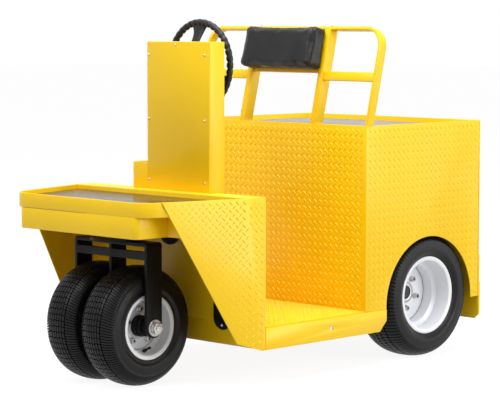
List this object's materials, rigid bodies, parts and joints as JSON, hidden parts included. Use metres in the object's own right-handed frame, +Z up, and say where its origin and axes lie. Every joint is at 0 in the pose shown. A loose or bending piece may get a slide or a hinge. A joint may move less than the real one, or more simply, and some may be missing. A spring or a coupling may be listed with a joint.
{
  "type": "electric tow tractor",
  "caption": "Stand-on electric tow tractor with a steered twin front wheel, cargo box, backrest, steering tower and rear hitch.",
  "frame": {"origin": "on the floor, at the middle of the overall length and of the width", "axes": "+X to the vehicle's left, +Y to its rear, +Z up"},
  "size_m": [0.856, 1.6877, 1.21],
  "materials": {
    "yellow_paint": "semi-gloss powder coat",
    "tread_plate": "semi-gloss powder coat on raised-lug tread plate",
    "black_paint": "satin black paint",
    "white_paint": "gloss white paint",
    "tyre_rubber": "matt rubber",
    "mat_rubber": "ribbed rubber with a slight sheen",
    "vinyl": "grained vinyl",
    "black_plastic": "moulded plastic",
    "steel": "machined steel",
    "zinc": "zinc-plated fasteners and axle",
    "cast_iron": "dark cast iron"
  },
  "bodies": {
    "chassis": {"access_cover": "black_plastic", "backrest_crossbars": "yellow_paint", "backrest_cushion": "vinyl", "backrest_hoop": "yellow_paint", "backrest_posts": "yellow_paint", "battery_pack": "black_plastic", "battery_tray": "yellow_paint", "body_front": "tread_plate", "body_rear": "tread_plate", "body_side_left": "tread_plate", "body_side_right": "tread_plate", "bulkhead": "yellow_paint", "deck_mat": "mat_rubber", "deck_plate": "yellow_paint", "drive_motor": "black_paint", "floor_plate": "tread_plate", "front_apron": "yellow_paint", "front_crossmember": "yellow_paint", "hitch": "black_paint", "horn": "black_plastic", "kingpin_housing": "yellow_paint", "pedals": "black_paint", "rails": "yellow_paint", "rear_axle": "cast_iron", "rear_bumper": "yellow_paint", "shaft_bearing": "cast_iron", "side_pocket": "yellow_paint", "sills": "yellow_paint", "steering_gear": "cast_iron", "switch_panel": "black_plastic", "tower_cover": "yellow_paint", "tower_shell": "yellow_paint", "tray_crossbar": "yellow_paint", "tray_mat": "mat_rubber", "tray_pan": "yellow_paint", "tray_rim": "yellow_paint", "wheel_wells": "yellow_paint", "wing_left": "tread_plate", "wing_right": "tread_plate"},
    "fork": {"fork_yoke": "black_paint", "kingpin": "black_paint", "front_axle": "zinc"},
    "front_wheels": {"front_rim_left": "white_paint", "front_rim_right": "white_paint", "front_tyre_left": "tyre_rubber", "front_tyre_right": "tyre_rubber"},
    "rear_wheel_left": {"rear_rim_left": "white_paint", "rear_tyre_left": "tyre_rubber", "rear_hub_left": "cast_iron"},
    "rear_wheel_right": {"rear_rim_right": "white_paint", "rear_tyre_right": "tyre_rubber", "rear_hub_right": "cast_iron"},
    "steering": {"steering_wheel": "black_plastic", "steering_shaft": "steel"}
  },
  "joints": [
    {"name": "fork_steer", "type": "hinge", "parent": "chassis", "child": "fork", "pos_m": [0, -0.6439, 0.2], "axis": [0, 0, 1], "range_deg": [-70, 70]},
    {"name": "front_wheels_spin", "type": "hinge", "parent": "fork", "child": "front_wheels", "pos_m": [0, -0.6439, 0.2], "axis": [1, 0, 0], "continuous": true},
    {"name": "rear_left_spin", "type": "hinge", "parent": "chassis", "child": "rear_wheel_left", "pos_m": [0.33, 0.48138, 0.2245], "axis": [1, 0, 0], "continuous": true},
    {"name": "rear_right_spin", "type": "hinge", "parent": "chassis", "child": "rear_wheel_right", "pos_m": [-0.33, 0.48138, 0.2245], "axis": [1, 0, 0], "continuous": true},
    {"name": "steering_turn", "type": "hinge", "parent": "chassis", "child": "steering", "pos_m": [0, -0.3166, 1.0528], "axis": [0, 1, 0], "range_deg": [-210, 210]}
  ],
  "couplings": [
    {"joint": "steering_turn", "follows": "fork_steer", "ratio": 3}
  ]
}
